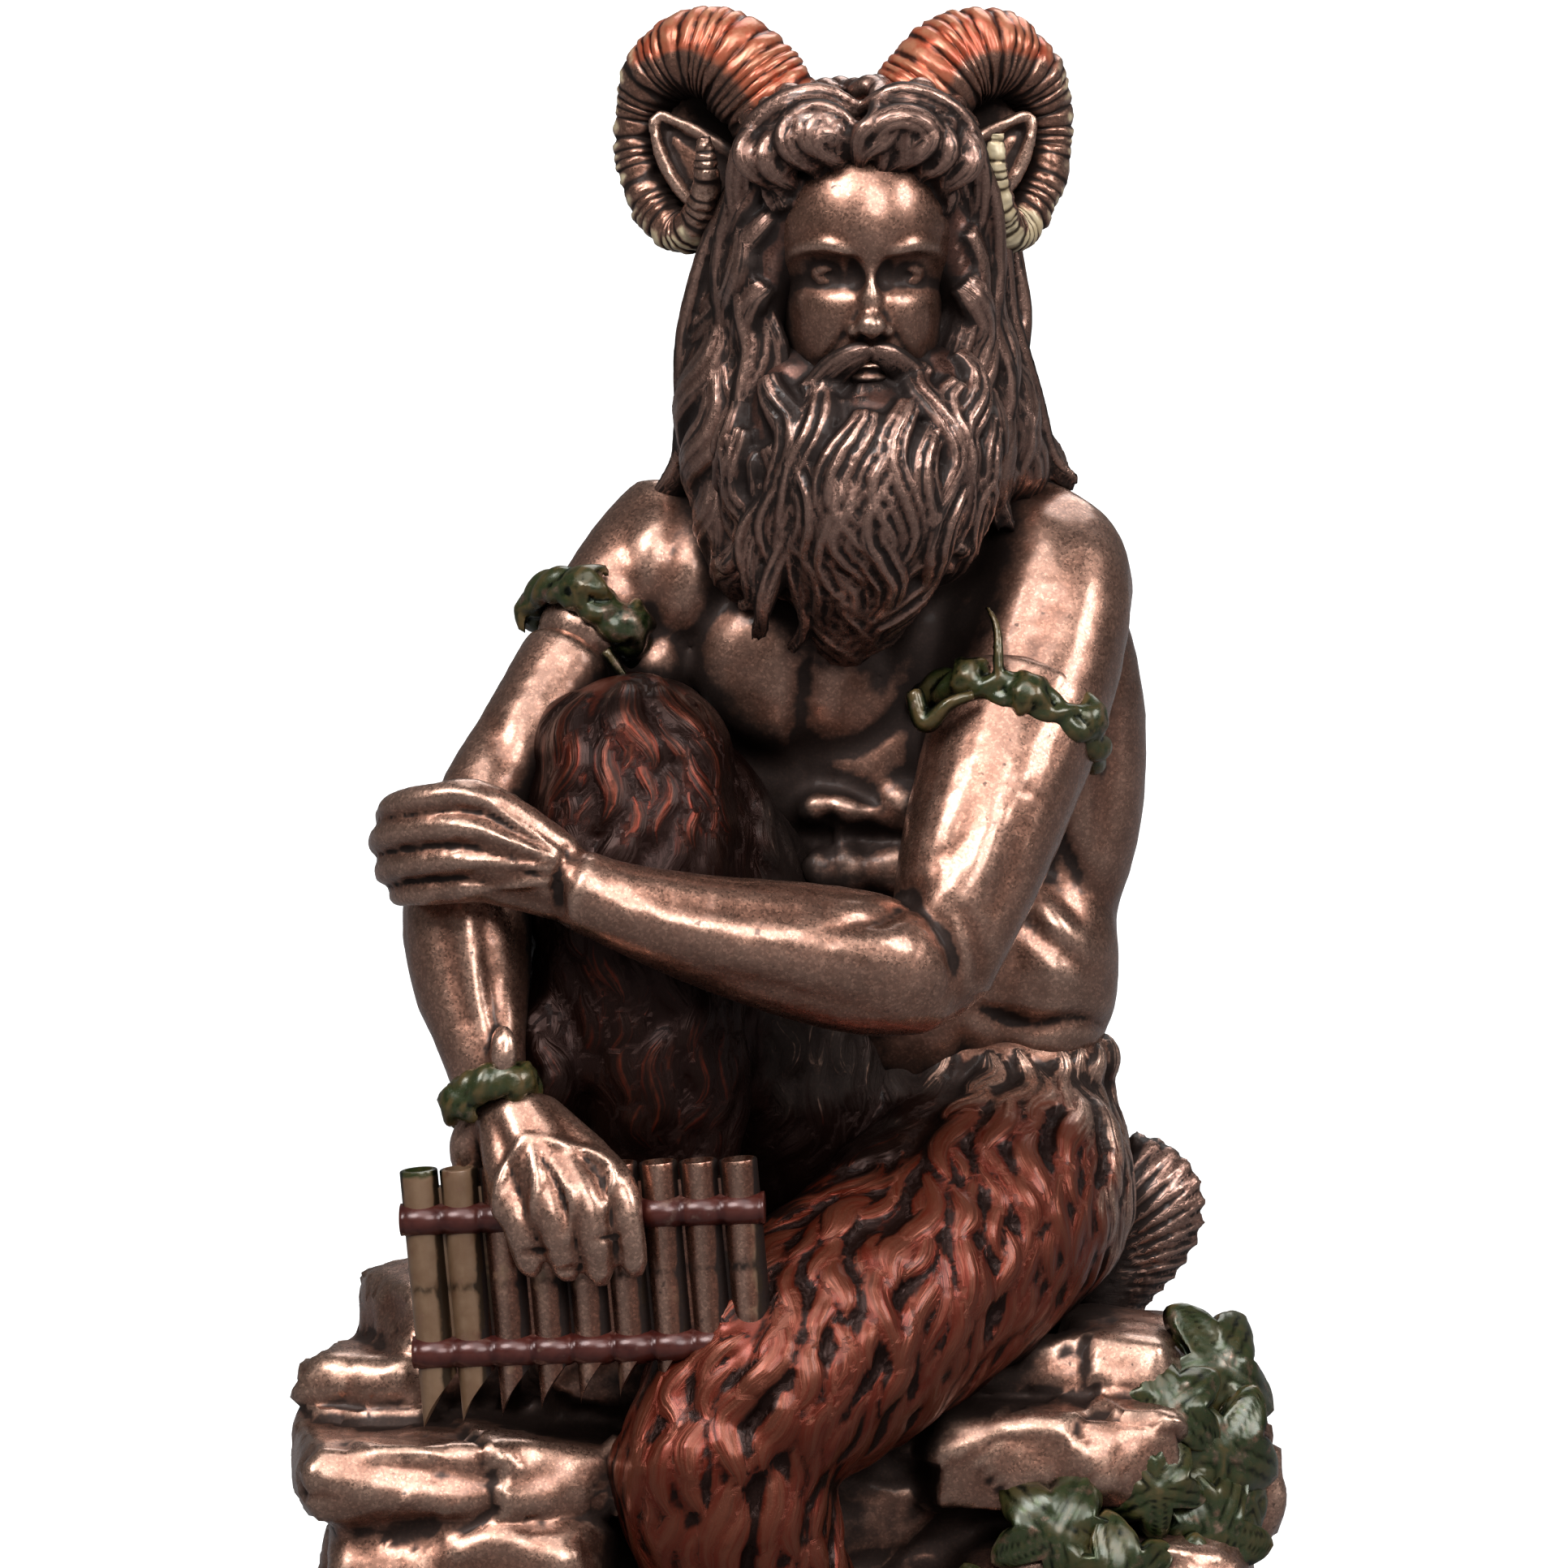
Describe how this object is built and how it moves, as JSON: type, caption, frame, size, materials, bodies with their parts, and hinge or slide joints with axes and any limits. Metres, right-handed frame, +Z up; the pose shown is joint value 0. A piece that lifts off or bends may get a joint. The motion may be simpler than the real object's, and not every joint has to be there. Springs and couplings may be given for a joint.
{
  "type": "figurine",
  "caption": "Seated bearded Pan with ram's horns, furry goat legs and reed pipes on a vine-clad rock; a small cast shelf figurine that stands by its own weight.",
  "frame": {"origin": "centre of the flat underside, at the bottom centre of the bounding box", "axes": "+Z up, the figurine faces -Y, +X is to the right of someone who looks at its front"},
  "size_m": [0.042, 0.0328, 0.0848],
  "materials": {
    "bronze": "cold-cast bronze resin, fine metallic flake, dark wash in the recesses, rubbed bright on the high places",
    "red_glaze": "thin red-brown glaze over bronze, glossy",
    "green_glaze": "leaf green glaze rubbed to ochre on the edges, glossy",
    "cream_glaze": "cream brush strokes over bronze, satin",
    "burgundy_glaze": "dark burgundy glaze over bronze, satin"
  },
  "bodies": {
    "root": {"pan_figurine": "bronze"}
  },
  "joints": []
}
